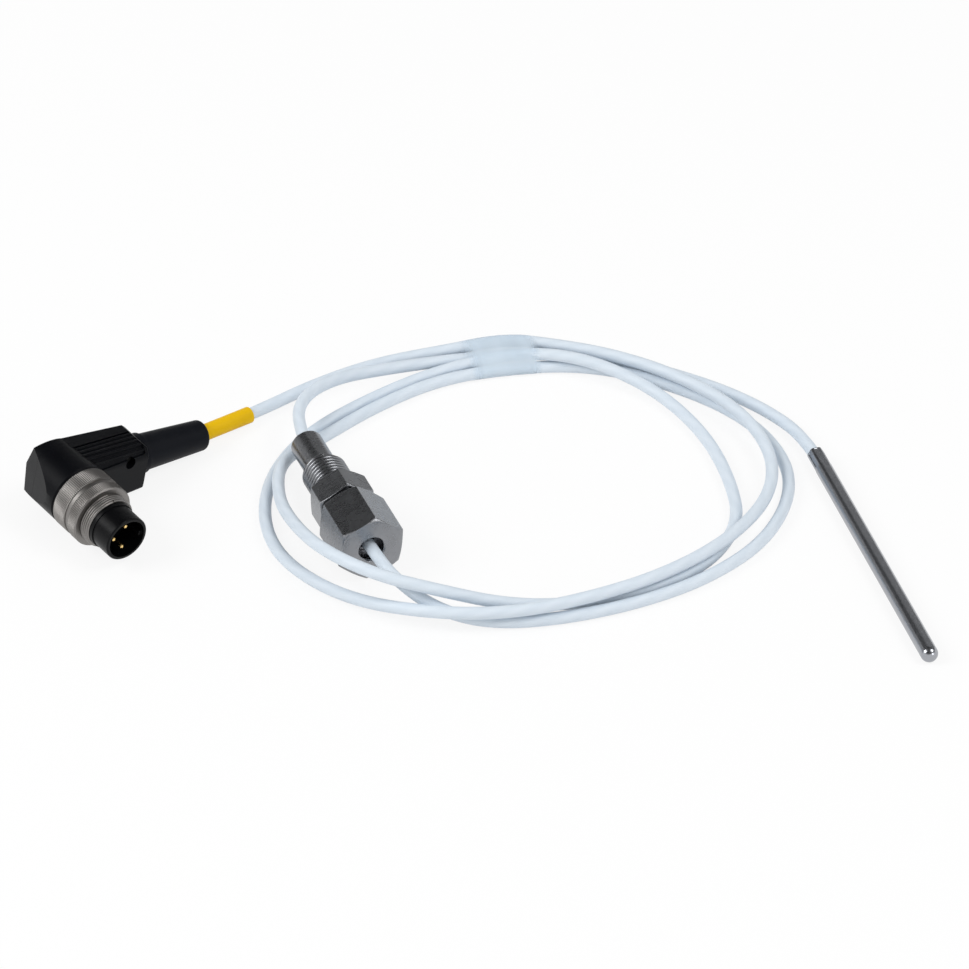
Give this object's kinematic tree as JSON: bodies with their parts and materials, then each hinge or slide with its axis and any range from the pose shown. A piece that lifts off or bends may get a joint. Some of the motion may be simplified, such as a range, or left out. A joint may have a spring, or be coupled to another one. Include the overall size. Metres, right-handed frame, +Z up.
{
  "type": "temperature probe with cable and plug",
  "caption": "Temperature probe: closed steel sheath on a coiled round cable, with a compression fitting threaded on it, a marker sleeve, a kink boot and a right-angle screw-ring plug.",
  "frame": {"origin": "on the floor under the middle of the sheath", "axes": "+Y along the sheath from its round tip to the cable, +Z up"},
  "size_m": [0.2264, 0.1816, 0.0228],
  "materials": {
    "sheath_steel": "satin",
    "ceramic": "matte",
    "conductor": "satin",
    "seal": "matte",
    "cable_jacket": "satin",
    "marker_yellow": "satin",
    "clear_film": "gloss",
    "boot_rubber": "matte",
    "housing_plastic": "satin",
    "screw_steel": "satin",
    "insert_plastic": "satin",
    "pin_gold": "polished",
    "ring_nickel": "satin",
    "fitting_steel": "machined"
  },
  "bodies": {
    "probe": {"probe_sheath": "sheath_steel", "sensing_element": "ceramic", "element_insulator": "ceramic", "element_leads": "conductor", "end_seal": "seal", "cable": "cable_jacket", "marker_sleeve": "marker_yellow", "coil_film": "clear_film", "kink_boot": "boot_rubber", "plug_body": "housing_plastic", "plug_cover": "housing_plastic", "housing_screw": "screw_steel", "pin_insert": "insert_plastic", "contact_pin_1": "pin_gold", "contact_pin_2": "pin_gold", "contact_pin_3": "pin_gold", "ring_clip": "screw_steel", "cable_clamp": "screw_steel", "clamp_screws": "screw_steel", "plug_wires": "conductor", "fitting_body": "fitting_steel"},
    "ring": {"coupling_ring": "ring_nickel"},
    "clamp_set": {"ferrule": "fitting_steel", "thrust_ring": "fitting_steel"},
    "nut": {"union_nut": "fitting_steel"}
  },
  "joints": [
    {"name": "ring_turn", "type": "hinge", "parent": "probe", "child": "ring", "pos_m": [-0.2147, 0.08486, 0.01277], "axis": [0.3876, -0.9166, -0.0983], "continuous": true},
    {"name": "nut_travel", "type": "slide", "parent": "probe", "child": "clamp_set", "axis": [0.0924, -0.9957, 0], "range_m": [-0.0015, 0.002]},
    {"name": "nut_turn", "type": "hinge", "parent": "clamp_set", "child": "nut", "pos_m": [-0.14248, 0.08434, 0.01045], "axis": [0.0924, -0.9957, 0], "range_deg": [-545, 725]}
  ],
  "couplings": [
    {"joint": "nut_turn", "follows": "nut_travel", "rad_per_m": 6283.2}
  ]
}
